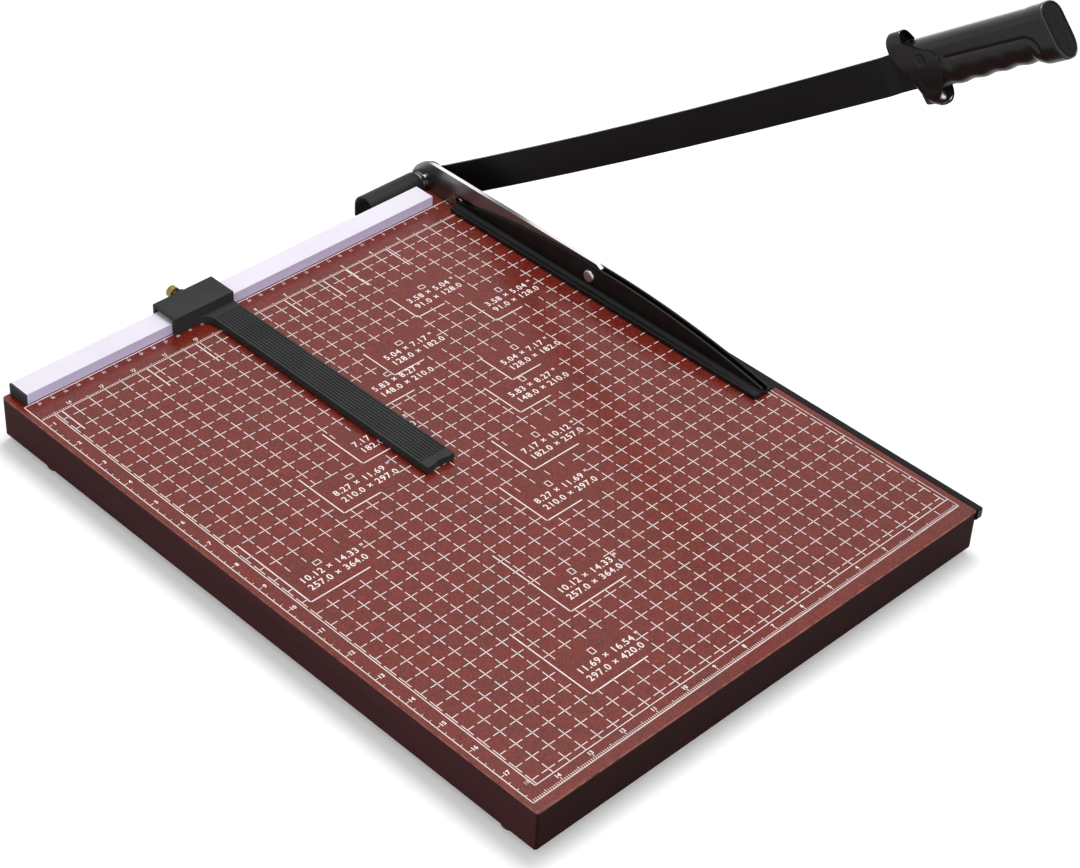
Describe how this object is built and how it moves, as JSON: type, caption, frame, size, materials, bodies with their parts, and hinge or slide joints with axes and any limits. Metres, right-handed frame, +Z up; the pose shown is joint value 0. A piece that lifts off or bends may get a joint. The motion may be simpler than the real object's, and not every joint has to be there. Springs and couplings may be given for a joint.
{
  "type": "guillotine paper trimmer",
  "caption": "Wooden board paper trimmer with a raised blade lever, a clamp bar beside the cutting edge, a fence rail and a sliding paper stop.",
  "frame": {"origin": "centre of the board underside, in its bottom face", "axes": "+X towards the cutting edge, +Y towards the fence rail and pivot at the back, +Z up"},
  "size_m": [0.4051, 0.5068, 0.3732],
  "materials": {
    "board": "stained and lacquered, printed top",
    "rubber_black": "matt",
    "blade_black": "black satin, worn at the edges",
    "bright_steel": "fine brushed",
    "zinc_steel": "zinc plated",
    "clamp_black": "black satin",
    "rail_white": "white coated",
    "plastic_black": "moulded, fine texture",
    "handle_black": "glossy moulding",
    "brass": "turned"
  },
  "bodies": {
    "base": {"base_board": "board", "edge_strip": "blade_black", "fixed_blade": "blade_black", "fixed_blade_screws": "zinc_steel", "foot_front_left": "rubber_black", "foot_front_right": "rubber_black", "foot_back_left": "rubber_black", "foot_back_right": "rubber_black", "foot_screws": "zinc_steel", "fence_rail": "rail_white", "rail_end_cap": "plastic_black", "rail_middle_block": "plastic_black", "rail_end_plug": "plastic_black", "rail_screws": "zinc_steel", "pivot_bolt": "blade_black", "head_washer": "blade_black", "pivot_spacer": "zinc_steel", "arm_washer": "zinc_steel", "pivot_spring": "bright_steel", "spring_washer": "zinc_steel", "pivot_nut": "zinc_steel", "spring_cover": "clamp_black", "spring_cover_screws": "zinc_steel"},
    "lever": {"blade_lever": "blade_black", "handle_grip": "handle_black", "handle_end_cap": "handle_black", "handle_screw": "blade_black", "handle_nut": "zinc_steel"},
    "clamp_arm_body": {"clamp_arm": "bright_steel"},
    "clamp_bar_body": {"clamp_bar": "clamp_black", "clamp_rivet": "zinc_steel"},
    "paper_stop_body": {"paper_stop": "plastic_black", "thumb_insert": "brass"},
    "thumb_screw_body": {"thumb_screw": "brass"}
  },
  "joints": [
    {"name": "lever_hinge", "type": "hinge", "parent": "base", "child": "lever", "pos_m": [0, 0.2525, 0.027], "axis": [-1, 0, 0], "range_deg": [-33.8, 27]},
    {"name": "clamp_lift", "type": "hinge", "parent": "base", "child": "clamp_arm_body", "pos_m": [0, 0.2525, 0.027], "axis": [-1, 0, 0], "range_deg": [0, 3]},
    {"name": "clamp_level", "type": "hinge", "parent": "clamp_arm_body", "child": "clamp_bar_body", "pos_m": [0, 0.0795, 0.0415], "axis": [-1, 0, 0], "range_deg": [-3, 0]},
    {"name": "stop_slide", "type": "slide", "parent": "base", "child": "paper_stop_body", "axis": [1, 0, 0], "range_m": [-0.1144, 0.1433]},
    {"name": "thumb_turn", "type": "hinge", "parent": "paper_stop_body", "child": "thumb_screw_body", "pos_m": [-0.0426, 0.2521, 0.035], "axis": [0, 1, 0], "range_deg": [0, 360]}
  ],
  "couplings": [
    {"joint": "clamp_level", "follows": "clamp_lift", "ratio": -1}
  ]
}
